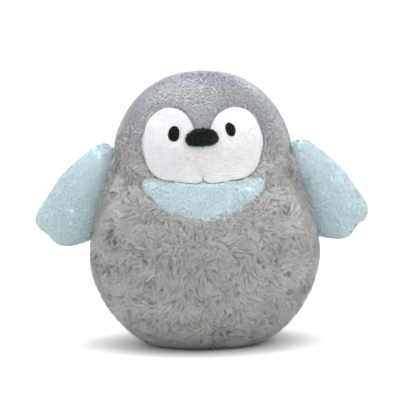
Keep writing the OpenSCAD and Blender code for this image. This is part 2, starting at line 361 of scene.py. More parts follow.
SPOKES, BASE_RINGS, BELLY_RINGS, NECK_RINGS, HEAD_RINGS = 72, 7, 18, 5, 14
REFINE = 3
SKIN_DEPTH_BODY, SKIN_DEPTH_HEAD = 3.8 * MM, 1.3 * MM
HEAD_DEPTH_FROM_Z, HEAD_DEPTH_TO_Z = 88 * MM, 102 * MM  # one depth runs into the other
SAG, SAG_Z, SAG_REACH = 1.4 * MM, 36 * MM, 16 * MM  # the pellets press the lower belly out
PUFF_ROOM = 0.8 * MM  # the cloth lies deeper by this much before it is puffed out


def stuffed_form():
    """Grid (rings, spokes, 3) of the sewn skin from the base's middle to the crown."""
    rows = envelope(BELLY_RINGS, NECK_RINGS, HEAD_RINGS)
    toward_head = smoothstep(HEAD_DEPTH_FROM_Z, HEAD_DEPTH_TO_Z, rows[:, 1:2])
    depth = SKIN_DEPTH_BODY + (SKIN_DEPTH_HEAD - SKIN_DEPTH_BODY) * toward_head
    depth -= SAG * np.exp(-(((rows[:, 1:2] - SAG_Z) / SAG_REACH) ** 2))
    sides = rows[:, :2] - rows[:, 2:] * (depth + PUFF_ROOM)
    base = np.linspace([0, sides[0, 1]], sides[0], BASE_RINGS + 1)[:-1]
    outline = np.vstack([base, sides])
    outline[-1, 0] = 0
    angle = np.arange(SPOKES) / SPOKES * 2 * math.pi
    grid = np.stack([
        outline[:, :1] * np.cos(angle), outline[:, :1] * np.sin(angle),
        np.repeat(outline[:, 1:], SPOKES, 1),
    ], 2)
    neck = BASE_RINGS + BELLY_RINGS + NECK_RINGS
    pinned = np.zeros(grid.shape[:2], bool)
    pinned[:BASE_RINGS + 1] = pinned[neck] = True
    pinned[:, [0, SPOKES // 4, SPOKES // 2]] = True  # side seam, back seam, side seam
    puffed = inflate("stuffed_form", grid, pinned, BODY_PRESSURE)
    fine = smooth_rows(puffed, REFINE, closed=False)
    fine = np.swapaxes(smooth_rows(np.swapaxes(fine, 0, 1), REFINE, closed=True), 0, 1)
    return fine, neck * REFINE


SKIN, NECK_RING = stuffed_form()
RINGS, AROUND = SKIN.shape[:2]
INLAY_SEAM_DEPTH, SEAM_REACH = 3.2 * MM, 1.6 * MM


def grid_normals(grid):
    """Outward normals of a closed grid of rings and spokes."""
    up = np.gradient(grid, axis=0)
    round_ = np.roll(grid, -1, 1) - np.roll(grid, 1, 1)
    normals = unit(np.cross(round_, up))
    normals[0], normals[-1] = (0, 0, -1), (0, 0, 1)
    return normals


SKIN_NORMALS = grid_normals(SKIN)
NEAR_SEAM = np.exp(-((inlay_distance(SKIN.reshape(-1, 3), INLAYS) / SEAM_REACH) ** 2))
NEAR_SEAM = NEAR_SEAM.reshape(RINGS, AROUND, 1)


def seam_positions(points):
    """The form's points carried along their normals to the depth of the inlays' seams."""
    r, nr, nz = at_height(points[:, 2])
    around = unit(points[:, :2])
    outer = np.column_stack([around * r[:, None], points[:, 2]])
    normals = np.column_stack([around * nr[:, None], nz])
    return outer - normals * INLAY_SEAM_DEPTH


SKIN = SKIN + (seam_positions(SKIN.reshape(-1, 3)).reshape(SKIN.shape) - SKIN) * NEAR_SEAM


def covered(points, margin=0.0):
    """Which points of the form lie under the face or the chest patch."""
    flat = points[:, [0, 2]]
    front = points[:, 1] < 0
    result = np.zeros(len(points), bool)
    for outline in INLAYS:
        held = inside(flat, outline)
        if margin:
            held &= edge_distance(flat, outline) > margin
        result |= held
    return result & front


# ---- materials


class Nodes:
    """A material with its Principled shader, and short calls that add and join nodes."""

    def __init__(self, name, roughness=0.9, sheen=0.0, specular=0.2):
        self.material = bpy.data.materials.new(name)
        self.material.use_nodes = True
        self.tree = self.material.node_tree
        self.shader = self.tree.nodes["Principled BSDF"]
        for key, value in (("Roughness", roughness), ("Specular IOR Level", specular),
                           ("Sheen Weight", sheen), ("Sheen Roughness", 0.5)):
            self.shader.inputs[key].default_value = value

    def add(self, kind, **settings):
        node = self.tree.nodes.new(kind)
        for key, value in settings.items():
            if key in node.inputs:
                node.inputs[key].default_value = value
            else:
                setattr(node, key, value)
        return node

    def join(self, output, target):
        self.tree.links.new(output, target)

    def ramp(self, value, stops):
        node = self.add("ShaderNodeValToRGB")
        elements = node.color_ramp.elements
        while len(elements) < len(stops):
            elements.new(0.5)
        for element, (place, color) in zip(elements, stops):
            element.position = place
            element.color = (*color, 1)
        self.join(value, node.inputs["Fac"])
        return node.outputs["Color"]

    def mix(self, blend, factor, a, b):
        node = self.add("ShaderNodeMix", data_type="RGBA", blend_type=blend)
        for value, socket in ((factor, node.inputs[0]), (a, node.inputs[6]), (b, node.inputs[7])):
            if isinstance(value, bpy.types.NodeSocket):
                self.join(value, socket)
            else:
                socket.default_value = value
        return node.outputs[2]

    def place(self):
        return self.add("ShaderNodeTexCoord").outputs["Object"]

    def noise(self, scale, detail=3.0):
        node = self.add("ShaderNodeTexNoise", Scale=scale, Detail=detail)
        self.join(self.place(), node.inputs["Vector"])
        return node.outputs["Fac"]

    def color(self, output):
        self.join(output, self.shader.inputs["Base Color"])

    def bump(self, height, strength, distance):
        node = self.add("ShaderNodeBump", Strength=strength, Distance=distance)
        self.join(height, node.inputs["Height"])
        self.join(node.outputs["Normal"], self.shader.inputs["Normal"])


TONE_SCALE = 0.8  # keeps the factors of a tone ramp below one


def grey(level, tint=(1, 1, 1)):
    return tuple(level * t for t in tint)


def pile_material(name, root, middle, tip, dark, light, sheen=0.15, specular=0.15, tones=None):
    """Colour of pile strands: root to tip along each strand, and darker or lighter by strand.
    The roots are darker than the tips: painted shade deep in the pile.

    tones lists heights and the factors that the colour takes on there, lowest first; they may
    paint light and shade by height.
    """
    nodes = Nodes(name, roughness=0.85, sheen=sheen, specular=specular)
    strand = nodes.add("ShaderNodeUVMap", uv_map="OFBake")
    split = nodes.add("ShaderNodeSeparateXYZ")
    nodes.join(strand.outputs["UV"], split.inputs[0])
    # roots darker than tips: painted shade between the strands
    along = nodes.ramp(split.outputs["Y"], [(0.0, root), (0.45, middle), (1.0, tip)])
    shade = nodes.ramp(
        split.outputs["X"], [(0.0, grey(dark)), (0.5, grey(0.95)), (1.0, grey(light))])
    color = nodes.mix("MULTIPLY", 1.0, along, shade)
    if tones:
        low, high = tones[0][0], tones[-1][0]
        height = nodes.add("ShaderNodeSeparateXYZ")
        nodes.join(nodes.place(), height.inputs[0])
        rise = nodes.add("ShaderNodeMapRange", **{"From Min": low, "From Max": high})
        nodes.join(height.outputs["Z"], rise.inputs["Value"])
        stops = [((z - low) / (high - low), grey(TONE_SCALE, tone)) for z, tone in tones]
        tone = nodes.ramp(rise.outputs["Result"], stops)
        color = nodes.mix("MULTIPLY", 1.0, color, tone)
        color = nodes.mix("MULTIPLY", 1.0, color, (1 / TONE_SCALE,) * 3 + (1,))
    nodes.color(color)
    return nodes.material


def cloth_material(name, color, dark=0.85, scale=700, detail=3.0, relief=0.3, depth=0.2 * MM,
                   **surface):
    """One colour with a fine weave, which darkens it and stands out."""
    nodes = Nodes(name, **surface)
    weave = nodes.noise(scale, detail)
    nodes.color(nodes.ramp(weave, [(0.3, grey(dark, color)), (0.7, color)]))
    nodes.bump(weave, relief, depth)
    return nodes.material


def backing_material(name, color):
    """Knitted backing cloth that shows only between the strands."""
    return cloth_material(name, color, dark=0.75, scale=900, relief=0.4, roughness=0.95, sheen=0.1)


def plain_cloth(name, color, scale=700, roughness=0.9):
    return cloth_material(name, color, scale=scale, roughness=roughness, sheen=0.1)


def thread_material(name, color, roughness, specular=0.3):
    return cloth_material(name, color, dark=0.7, scale=4000, detail=2.0, depth=0.05 * MM,
                          roughness=roughness, specular=specular)


COOL, WARM = (0.935, 0.955, 1.01), (1.0, 0.985, 0.965)
# The head's pile is lighter towards the crown: painted light from above. Towards the neck seam it
# turns warmer, as the body's pile.
HEAD_PILE = pile_material(
    "head_pile", grey(0.60, COOL), grey(0.65, COOL), grey(0.69, COOL), dark=0.95, light=1.02,
    sheen=0.05, tones=(
        (NECK_SEAM_Z, (0.985, 0.95, 0.915)), (118 * MM, grey(0.935)), (TOP_Z, grey(1.18))))
# The body's pile is lighter at its lowest: painted light against the shade under the belly. Towards
# the neck seam it turns cooler and lighter, as the head's pile.
BODY_PILE = pile_material(
    "body_pile", grey(0.43, WARM), grey(0.54, WARM), grey(0.64, WARM), dark=0.78, light=1.22,
    tones=(
        (12 * MM, (1.06, 1.055, 1.05)), (50 * MM, (0.97, 0.97, 0.98)),
        (NECK_SEAM_Z, (1.07, 1.09, 1.12))))
# The fleece is darker low on the wings and lighter at their top: painted shade and painted top
# light.
FLEECE_PILE = pile_material(
    "fleece_pile", (0.705, 0.875, 0.925), (0.735, 0.905, 0.95), (0.755, 0.92, 0.965), dark=0.97,
    light=0.99, sheen=0.4, tones=(
        (52 * MM, (0.81, 0.825, 0.83)), (80 * MM, (0.93, 0.935, 0.94)),
        (98 * MM, (1.04, 1.045, 1.045))))
VELOUR_FUZZ = pile_material(
    "velour_fuzz", (0.57, 0.57, 0.59), (0.61, 0.61, 0.63), (0.63, 0.63, 0.65), dark=0.93,
    light=1.04)
# The black fuzz's lighter tips and a few much lighter strands are painted sheen highlights.
BEAK_FUZZ = pile_material(
    "beak_fuzz", grey(0.003), (0.005, 0.008, 0.008), (0.05, 0.08, 0.08), dark=0.02, light=6.0,
    sheen=0.0, specular=0.05)
HEAD_BACKING = backing_material("head_backing", grey(0.52, COOL))
BODY_BACKING = backing_material("body_backing", grey(0.52, WARM))
FLEECE_BACKING = backing_material("fleece_backing", (0.78, 0.93, 0.97))
BEAK_BACKING = backing_material("beak_backing", grey(0.004))
FIBRE = plain_cloth("polyester_fibre", (0.85, 0.85, 0.83), 300)

# ---- pile strands


def strand_mesh(name, curves, widths, axes, shade, along):
    """A mesh of closed three-sided strands.

    curves (n, k, 3) are the points along each strand, the last one its tip; widths (n, k - 1);
    axes are two (n, 3) arrays across the strand; shade (n,) and along (k,) colour it.
    """
    count, points = curves.shape[:2]
    rings = points - 1
    corners = np.radians([90, 210, 330])
    ring = (axes[0][:, None] * np.cos(corners)[:, None]
            + axes[1][:, None] * np.sin(corners)[:, None])
    body = curves[:, :-1, None] + ring[:, None] * (widths / 2)[:, :, None, None]
    vertices = np.concatenate([body.reshape(count, rings * 3, 3), curves[:, -1:]], axis=1)
    per_strand = rings * 3 + 1
    sides = ring_faces(np.arange(rings * 3).reshape(rings, 3))[:, [1, 0, 3, 2]]
    top = (rings - 1) * 3
    tips = [[top + (c + 1) % 3, top + c, per_strand - 1] for c in range(3)]
    faces = [[0, 1, 2], *sides.tolist(), *tips]
    loop = np.concatenate(faces)
    loops = (np.arange(count)[:, None] * per_strand + loop).ravel()
    ends = np.cumsum(np.tile([len(face) for face in faces], count))
    mesh = bpy.data.meshes.new(name)
    mesh.vertices.add(count * per_strand)
    mesh.vertices.foreach_set("co", vertices.ravel())
    mesh.loops.add(len(loops))
    mesh.loops.foreach_set("vertex_index", loops)
    mesh.polygons.add(len(ends))
    mesh.polygons.foreach_set("loop_start", np.append(0, ends[:-1]))
    mesh.polygons.foreach_set("use_smooth", np.ones(len(ends), bool))
    mesh.update(calc_edges=True)
    ring_of = np.append(np.repeat(np.arange(rings), 3), rings)
    uv = np.empty((count, len(loop), 2))
    uv[:, :, 0] = np.clip(shade, 0.02, 0.98)[:, None]
    uv[:, :, 1] = np.clip(along[ring_of[loop]], 0.02, 0.98)
    mesh.uv_layers.new(name="OFBake").data.foreach_set("uv", uv.ravel())
    return mesh


def along_surface(vectors, normals):
    """Directions of vectors laid flat on a surface."""
    return unit(vectors - (vectors * normals).sum(1, keepdims=True) * normals)


LIFT_POWER, SWEEP_POWER, GATHER_POWER = 1.8, 1.35, 1.6  # how strands rise, bend and meet in locks
STRAND_TAPER = 0.45
CURL_TURN = 5.5  # radians of a strand's wave
PATCH_TONE, LOCK_TONE, STRAND_TONE = 0.10, 0.13, 0.10  # how much the shade varies
HIGHLIGHT_TONE, HIGHLIGHT_SHARE = 0.4, 0.03  # a few strands are painted lighter: painted highlights


@dataclass
class Pile:
    """How one kind of pile grows. Lengths in metres, density in strands per square metre.

    flow gives directions (n, 3) at points of the cloth, and size_at factors (n,) of the length.
    """

    material: bpy.types.Material
    density: float
    length: float
    rise: float
    width: float
    flow: object
    clump: float = 0.0
    clump_pitch: float = 3 * MM
    rings: int = 2
    jitter: float = 0.35
    curl: float = 0.0
    size_at: object = None

    def grow(self, name, roots, normals, seed, floor=None):
        rng = np.random.default_rng(seed)
        count = len(roots)
        centres = max(1, int(count / max(1, self.density * self.clump_pitch**2)))
        tree = kdtree.KDTree(centres)
        picked = rng.choice(count, centres, replace=False)
        for index, at in enumerate(roots[picked]):
            tree.insert(at, index)
        tree.balance()
        mine = np.array([tree.find(at)[1] for at in roots])
        heart, heart_normal = roots[picked][mine], normals[picked][mine]

        flow = self.flow(roots[picked]) + rng.normal(0, self.jitter, (centres, 3))
        heart_flow = along_surface(flow, normals[picked])[mine]
        heart_size = rng.uniform(0.88, 1.08, centres)[mine]
        own = unit(heart_flow + rng.normal(0, self.jitter * 0.5, (count, 3)))
        own = along_surface(own, normals)

        if self.size_at:
            heart_size = heart_size * self.size_at(heart)
        size = heart_size * rng.uniform(0.75, 1.1, count)
        reach = math.sqrt(self.length**2 - self.rise**2)
        rise, run = self.rise * size, reach * size
        t = np.linspace(0, 1, self.rings + 1)
        lift = 1 - (1 - t) ** LIFT_POWER
        sweep = t**SWEEP_POWER
        curves = (roots[:, None] + normals[:, None] * (rise[:, None] * lift)[..., None]
                  + own[:, None] * (run[:, None] * sweep)[..., None])
        gather = (heart + heart_normal * (self.rise * heart_size)[:, None]
                  + heart_flow * (reach * heart_size)[:, None])
        pull = self.clump * rng.uniform(0.5, 1.0, count)
        curves += (gather - curves[:, -1])[:, None] * (pull[:, None] * t**GATHER_POWER)[..., None]
        side = unit(np.cross(normals, own))
        if self.curl:
            phase = rng.uniform(0, 2 * math.pi, count)
            bend = np.sin(phase[:, None] + t * CURL_TURN) - np.sin(phase)[:, None]
            curves += side[:, None] * (self.curl * bend * size[:, None])[..., None]
        if floor is not None:
            curves[..., 2] = np.maximum(curves[..., 2], floor)
        widths = self.width * rng.uniform(0.75, 1.25, (count, 1)) * (1 - STRAND_TAPER * t[:-1])
        patch = wave_noise(seed + 7, 14 * MM)(roots)[:, 0]
        shade = (0.5 + PATCH_TONE * patch + rng.normal(0, LOCK_TONE, centres)[mine]
                 + rng.normal(0, STRAND_TONE, count)
                 + HIGHLIGHT_TONE * (rng.random(count) < HIGHLIGHT_SHARE))
        up = unit(np.cross(side, own) + normals * 0.5)
        mesh = strand_mesh(name, curves, widths, (side, up), shade, t)
        mesh.materials.append(self.material)
        return link(name, mesh)


def scatter(grid, normals, density, seed, cells=None):
    """Seeded random points and normals on the chosen cells of a closed grid, or on all."""
    rng = np.random.default_rng(seed)
    quads = grid_faces(grid, cells)
    a, b, c, d = np.moveaxis(grid.reshape(-1, 3)[quads], 1, 0)
    area = np.linalg.norm(np.cross(c - a, d - b), axis=1) / 2
    pick = rng.choice(len(quads), int(area.sum() * density), p=area / area.sum())
    u, v = rng.uniform(size=(2, len(pick), 1))

    def blend(values):
        a, b, c, d = np.moveaxis(values.reshape(-1, 3)[quads[pick]], 1, 0)
        return (1 - u) * (1 - v) * a + u * (1 - v) * b + u * v * c + (1 - u) * v * d

    return blend(grid), unit(blend(normals))


# ---- grey panels of head and body


def thick_grid(name, grid, normals, thickness, material, cells=None):
    """The chosen cells of a closed grid, or all, as cloth that is thick towards its inside."""
    outer = grid.reshape(-1, 3)
    inner = outer - normals.reshape(-1, 3) * thickness
    return thick_faces(name, outer, inner, grid_faces(grid, cells), material)


def thick_faces(name, outer, inner, faces, material):
    """Outer and inner layer of a sheet, with its rim closed."""
    total = len(outer)
    runs = np.stack([faces, np.roll(faces, -1, axis=1)], 2).reshape(-1, 2)
    edges = dict.fromkeys(map(tuple, runs.tolist()))
    rim = [[b, a, a + total, b + total] for a, b in edges if (b, a) not in edges]
    sheet = np.vstack([faces, faces[:, ::-1] + total, rim])
    used, corners = np.unique(sheet, return_inverse=True)
    vertices = np.vstack([outer, inner])[used]
    piece = new_piece(name, vertices, corners.reshape(-1, 4), material)
    weld(piece)
    return piece


def weld(piece):
    """Joins doubled vertices, such as those at a pole."""
    shape = bmesh.new()
    shape.from_mesh(piece.data)
    bmesh.ops.remove_doubles(shape, verts=shape.verts, dist=1e-6)
    bmesh.ops.dissolve_degenerate(shape, edges=shape.edges, dist=1e-6)
    loose = [edge for edge in shape.edges if not edge.link_faces]
    bmesh.ops.delete(shape, geom=loose, context="EDGES")
    shape.to_mesh(piece.data)
    shape.free()


CELL_MIDDLES = (SKIN[:-1] + SKIN[1:] + np.roll(SKIN, -1, 1)[:-1] + np.roll(SKIN, -1, 1)[1:]) / 4
CLOTH_UNDER_INLAYS = 1.5 * MM
COVERED = covered(CELL_MIDDLES.reshape(-1, 3), CLOTH_UNDER_INLAYS).reshape(RINGS - 1, AROUND)
BASE_RING = BASE_RINGS * REFINE

head_swirl = wave_noise(31, 40 * MM, 3)
body_swirl = wave_noise(47, 16 * MM, 3)


def away_from(outlines, points):
    """Directions away from the nearest of some inlaid edges, strong only beside it."""
    step = 0.5 * MM
    near = inlay_distance(points, outlines)
    gradient = np.zeros_like(points)
    for axis in (0, 2):
        shift = np.zeros(3)
        shift[axis] = step
        moved = inlay_distance(points + shift, outlines)
        gradient[:, axis] = (moved - near) / step
    inner = np.where(covered(points), -1.0, 1.0)
    return gradient * (inner * np.exp(-((near / (2 * MM)) ** 2)))[:, None]


def head_flow(points):
    return head_swirl(points) * 0.35 + np.array([0, 0, -1.0]) + away_from(FACES, points) * 0.8


def body_flow(points):
    """The body's pile is brushed outwards from the middle of the belly and down."""
    brushed = points * [0.8 / BELLY_R, 0, 0] + [0, 0, -0.35]
    edges = away_from(FACES, points) * 1.5 + away_from([PATCH_OUTLINE], points) * 0.8
    return body_swirl(points) * 0.52 + brushed + edges


def body_pile_size(points):
    """The body's pile is brushed shorter towards the neck seam."""
    return 1 - 0.52 * smoothstep(66 * MM, 97 * MM, points[:, 2])


def head_pile_size(points):
    """The head's pile stands a little longer towards the neck seam."""
    return 1 + 0.35 * smoothstep(118 * MM, 98 * MM, points[:, 2])


HEAD_FUR = Pile(
    HEAD_PILE, 5.2e6, 2.5 * MM, 1.4 * MM, 0.24 * MM, head_flow, clump=0.12, clump_pitch=0.8 * MM,
    size_at=head_pile_size)
BODY_FUR = Pile(
    BODY_PILE, 4.6e6, 6.6 * MM, 3.8 * MM, 0.17 * MM, body_flow, clump=0.26, clump_pitch=0.9 * MM,
    jitter=0.42, curl=0.12 * MM, size_at=body_pile_size)
BASE_FUR = Pile(BODY_PILE, 0.8e6, 6 * MM, 2.6 * MM, 0.34 * MM, body_flow, clump=0.5)

# The rings, and the spokes as fractions of a turn, between which each panel lies.
HEAD_PART = (NECK_RING, RINGS - 1, HEAD_FUR, HEAD_BACKING)
BODY_PART = (BASE_RING, NECK_RING, BODY_FUR, BODY_BACKING)
PANELS = {
    "head_front_panel": (0.5, 1.0, *HEAD_PART),
    "head_back_left_panel": (0.0, 0.25, *HEAD_PART),
    "head_back_right_panel": (0.25, 0.5, *HEAD_PART),
    "body_front_panel": (0.5, 1.0, *BODY_PART),
    "body_back_left_panel": (0.0, 0.25, *BODY_PART),
    "body_back_right_panel": (0.25, 0.5, *BODY_PART),
    "base_panel": (0.0, 1.0, 0, BASE_RING, BASE_FUR, BODY_BACKING),
}
STRANDS_PER_PIECE = 18000
PILE_OVER_SEAM = 0.8 * MM
FLOOR_GAP = 0.15 * MM
GREY_CLOTH_T, FLEECE_CLOTH_T, VELOUR_CLOTH_T, PATCH_CLOTH_T = 0.7 * MM, 0.6 * MM, 1.2 * MM, 0.9 * MM


def cover(name, pile, grid, normals, root_seed, seed, body=BODY, cells=None, keep=None,
          floor=None):
    """Grows pile on the chosen cells of a closed grid, or on all, where keep allows it.

    Pile too heavy for one mesh is split from side to side into several pieces.
    """
    roots, normals = scatter(grid, normals, pile.density, root_seed, cells)
    if keep:
        kept = keep(roots)
        roots, normals = roots[kept], normals[kept]
    parts = math.ceil(len(roots) / STRANDS_PER_PIECE)
    order = np.argsort(np.arctan2(roots[:, 1], roots[:, 0]) % (2 * math.pi), kind="stable")
    for number, chosen in enumerate(np.array_split(order, parts)):
        label = f"{name}_{number + 1}" if parts > 1 else name
        piece = pile.grow(label, roots[chosen], normals[chosen], seed + number, floor)
        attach(piece, body)


def clear_of_inlays(roots):
    return ~covered(roots, PILE_OVER_SEAM)


def make_grey_panels():
    for seed, (node, (start, end, low, high, pile, backing)) in enumerate(PANELS.items(), 100):
        cells = np.zeros((RINGS - 1, AROUND), bool)
        cells[low:high, int(start * AROUND):int(end * AROUND)] = True
        cells &= ~COVERED
        name = node.replace("_panel", "")
        skin = thick_grid(name + "_cloth", SKIN, SKIN_NORMALS, GREY_CLOTH_T, backing, cells)
        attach(skin, BODY)
        cover(name + "_pile", pile, SKIN, SKIN_NORMALS, seed, seed * 10, cells=cells,
              keep=clear_of_inlays, floor=FLOOR_GAP)
        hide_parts(node)


make_grey_panels()

# ---- inlaid face and chest patch


def polar_grid(outline, rings):
    """Rings of 2-D points from a closed outline to its middle."""
    middle = outline.mean(0)
    scale = 1 - np.linspace(0, 1, rings + 1) ** 1.25
    return middle + (outline[None] - middle) * scale[:, None, None]


def inlay(name, outline, rings, depth_of, thickness, material):
    """A closed sheet inlaid in the front. Returns the piece, its grid and its normals."""
    flat = polar_grid(outline, rings)
    points = flat.reshape(-1, 2)
    place, normals = front_surface(points, depth_of(points, edge_distance(points, outline)))
    grid, normals = place.reshape(rings + 1, -1, 3), normals.reshape(rings + 1, -1, 3)
    return thick_grid(name, grid, normals, thickness, material), grid, normals


RIB_PITCH, RIB_HEIGHT = 1.0 * MM, 0.14 * MM
FACE_DEPTH, FACE_RIM, FACE_RIM_REACH = 0.8 * MM, 1.2 * MM, 0.6 * MM
CHIN_SEAM_DEPTH, CHIN_SEAM_REACH, CHIN_CLEFT = 0.04 * MM, 0.35 * MM, 1.2 * MM
LUMP_HEIGHT, LUMP_LENGTH = 0.25 * MM, 22 * MM


def face_depth(points, edge):
    """Depth of the padded, ribbed velour below the tips of the grey pile."""
    local = points - [0, FACE_Z]
    off_middle = smoothstep(0.5 * MM, 3 * MM, np.abs(local[:, 0]))
    rim = FACE_RIM * np.exp(-edge / FACE_RIM_REACH) * off_middle
    low = smoothstep(-13 * MM, -17 * MM, local[:, 1])
    seam = (CHIN_SEAM_DEPTH + CHIN_CLEFT * low) * np.exp(-np.abs(local[:, 0]) / CHIN_SEAM_REACH)
    seam *= 1 - off_middle
    lower_half = smoothstep(4 * MM, -4 * MM, local[:, 1])
    ribs = RIB_HEIGHT * lower_half * np.sin(2 * math.pi * local[:, 1] / RIB_PITCH)
    lump = wave_noise(5, LUMP_LENGTH)(np.column_stack([points, points[:, :1]]))[:, 0]
    return FACE_DEPTH + rim + seam + ribs + LUMP_HEIGHT * lump


def velour_material():
    """White velour: faint ribs' shade, a blush under the beak and on the cheeks."""
    nodes = Nodes("face_velour", roughness=0.9, sheen=0.35, specular=0.15)
    fine = nodes.noise(1500, 2)
    base = nodes.ramp(fine, [(0.3, (0.585, 0.585, 0.605)), (0.7, (0.62, 0.62, 0.635))])
    place = nodes.place()
    for x, z, reach, color, amount in (
        (0.0, 99.0, 8, (0.62, 0.50, 0.52), 0.4),
        (-18.0, 93.0, 10, (0.61, 0.53, 0.57), 0.3),
        (17.0, 95.0, 10, (0.61, 0.55, 0.57), 0.2),
    ):
        away = nodes.add("ShaderNodeVectorMath", operation="DISTANCE")
        nodes.join(place, away.inputs[0])
        away.inputs[1].default_value = (x * MM, -42 * MM, z * MM)
        fade = nodes.ramp(away.outputs["Value"], [(0.0, grey(amount)), (reach * MM, grey(0.0))])
        base = nodes.mix("MIX", fade, base, (*color, 1))
    nodes.color(base)
    nodes.bump(fine, 0.25, 0.15 * MM)
    return nodes.material


def fuzz_flow(points):
    return wave_noise(61, 12 * MM, 3)(points) * 0.6 + np.array([0, 0, -0.6])


FACE_FUZZ = Pile(VELOUR_FUZZ, 5e6, 0.75 * MM, 0.55 * MM, 0.10 * MM, fuzz_flow, rings=1, jitter=0.6)
PATCH_FUR = Pile(
    FLEECE_PILE, 6.5e6, 2.3 * MM, 1.1 * MM, 0.27 * MM, fuzz_flow, clump=0.1, clump_pitch=1.2 * MM,
    curl=0.1 * MM)
TUBE_SIDES = 6


def tube(path, radius):
    """Vertices and faces of a closed tube along a path, with flat ends."""
    along = unit(np.gradient(path, axis=0))
    side = unit(np.cross(along, np.array([0.03, -1, 0.02])))
    up = unit(np.cross(side, along))
    angle = np.arange(TUBE_SIDES) / TUBE_SIDES * 2 * math.pi
    rings = path[:, None] + (side[:, None] * np.cos(angle)[:, None]
                             + up[:, None] * np.sin(angle)[:, None]) * radius
    vertices = rings.reshape(-1, 3)
    first_end = list(range(TUBE_SIDES))[::-1]
    last_end = list(range(len(vertices) - TUBE_SIDES, len(vertices)))
    return vertices, [*grid_faces(rings).tolist(), first_end, last_end]


FACE_SEAM_W, FACE_SEAM_DEPTH = 0.6 * MM, 2.7 * MM


def make_face_seam_shade(material):
    """A dark thread laid in the valley round the cheeks' and the chin's edge: painted shade, the
    shadow line in that valley.
    """
    for side, label in SIDES:
        outline = FACE_OUTLINES[side]
        outer = outline[(np.abs(outline[:, 0]) > 0.6 * MM) & (outline[:, 1] < FACE_Z - 4 * MM)]
        turn = np.argmax(np.linalg.norm(np.roll(outer, -1, axis=0) - outer, axis=1))
        path = np.roll(outer, -int(turn) - 1, axis=0)
        middle = path.mean(0)
        path = path + unit(path - middle) * 0.35 * MM
        points, _ = front_surface(path, FACE_SEAM_DEPTH)
        seam = new_piece(f"face_{label}_seam_thread", *tube(points, FACE_SEAM_W / 2), material)
        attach(seam, BODY)


def make_face():
    velour = velour_material()
    # The thread's dark grey is painted shade: the shadow line round the cheeks and under the chin.
    make_face_seam_shade(thread_material("face_seam_shade_thread", (0.15, 0.15, 0.16), 0.8, 0.1))
    for side, label in SIDES:
        name = f"face_{label}"
        cloth, grid, normals = inlay(
            name + "_cloth", FACE_OUTLINES[side], 64, face_depth, VELOUR_CLOTH_T, velour)
        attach(cloth, BODY)
        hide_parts(f"face_{label}_panel")
        cover(name + "_fuzz", FACE_FUZZ, grid, normals, 300 + side, 310 + side)


PATCH_DEPTH, PATCH_RIM, PATCH_RIM_REACH = 2.3 * MM, 0.9 * MM, 1.5 * MM


def patch_depth(points, edge):
    return PATCH_DEPTH + PATCH_RIM * np.exp(-edge / PATCH_RIM_REACH)


def clear_of_face(roots):
    # The patch's pile keeps clear of the face's edge, so that the dark seam thread, a painted
    # shadow line, shows under the chin.
    flat = roots[:, [0, 2]]
    return np.all([~inside(flat, outline) & (edge_distance(flat, outline) > 1.6 * FACE_SEAM_W)
                   for outline in FACES], axis=0)


def make_patch():
    cloth, grid, normals = inlay(
        "chest_patch_cloth", PATCH_OUTLINE, 24, patch_depth, PATCH_CLOTH_T, FLEECE_BACKING)
    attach(cloth, BODY)
    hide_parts("chest_patch")
    cover("chest_patch_pile", PATCH_FUR, grid, normals, 330, 340,
          keep=clear_of_face)


make_face()
make_patch()

# ---- eyes and beak


def join_shapes(shapes):
    vertices, faces, start = [], [], 0
    for v, f in shapes:
        vertices.append(v)
        faces += [[i + start for i in face] for face in f]
        start += len(v)
    return np.vstack(vertices), faces


EYE_TURN = {1: math.radians(24), -1: math.radians(-8)}
EYE_SIZE = {1: (0.80, 0.99), -1: (0.98, 1.03)}
THREAD_PITCH, THREAD_R = 0.34 * MM, 0.22 * MM
EYE_DEPTH = 0.75 * MM


def eye_shape(side, angle):
    """Reach of the hand-guided embroidery from the eye's middle, as a factor of an oval."""
    return 1 + 0.06 * np.sin(2 * angle + side) + 0.05 * np.sin(3 * angle + 2 * side)


def make_eye(side, label, material):
    """Satin stitches laid side by side across the eye, over a low padded oval."""
    turn = EYE_TURN[side]
    width, tall = EYE_W * EYE_SIZE[side][0], EYE_H * EYE_SIZE[side][1]
    c, s = math.cos(turn), math.sin(turn)
    centre = np.array([side * EYE_X + 0.3 * MM, EYE_UP])
    rng = np.random.default_rng(400 + side)
    rows = int(tall / THREAD_PITCH)
    shapes = []
    for row in range(rows):
        up = (row + 0.5) / rows * 2 - 1
        half = width / 2 * math.sqrt(1 - up * up) * rng.uniform(0.95, 1.06)
        ends = [half * eye_shape(side, math.atan2(up, way * math.sqrt(1 - up * up)))
                for way in (-1, 1)]
        across = np.linspace(-ends[0], ends[1], 9)
        height = np.full(9, up * tall / 2) + across * 0.06
        local = np.stack([across * c - height * s, across * s + height * c], 1) + centre
        bow = np.sqrt(np.clip(1 - (across / max(ends)) ** 2, 0, 1))
        lift = 0.45 * MM * bow * math.sqrt(1 - up * up * 0.8)
        points, _ = front_surface(turned_on_face(local), EYE_DEPTH - lift)
        shapes.append(tube(points, THREAD_R))
    angle = np.linspace(0, 2 * math.pi, 40, endpoint=False)
    oval = np.stack([width / 2 * np.cos(angle), tall / 2 * np.sin(angle)], 1) * 0.98
    oval = (oval * eye_shape(side, angle)[:, None]) @ np.array([[c, s], [-s, c]]) + centre
    pad, _, _ = inlay(
        label + "_eye_pad", turned_on_face(oval), 6,
        lambda _, edge: EYE_DEPTH - 0.25 * MM * np.clip(edge / MM, 0, 1), 0.5 * MM, material)
    threads = new_piece(label + "_eye_threads", *join_shapes(shapes), material)
    for piece in (pad, threads):
        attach(piece, BODY)
    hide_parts(label + "_eye")


BEAK_DEPTH = 8.2 * MM
BEAK_FULLNESS, BEAK_SECTION_FULLNESS = 0.86, 0.92  # powers below 1 make the oval boxier
BEAK_SEAT_DEPTH = 0.2 * MM


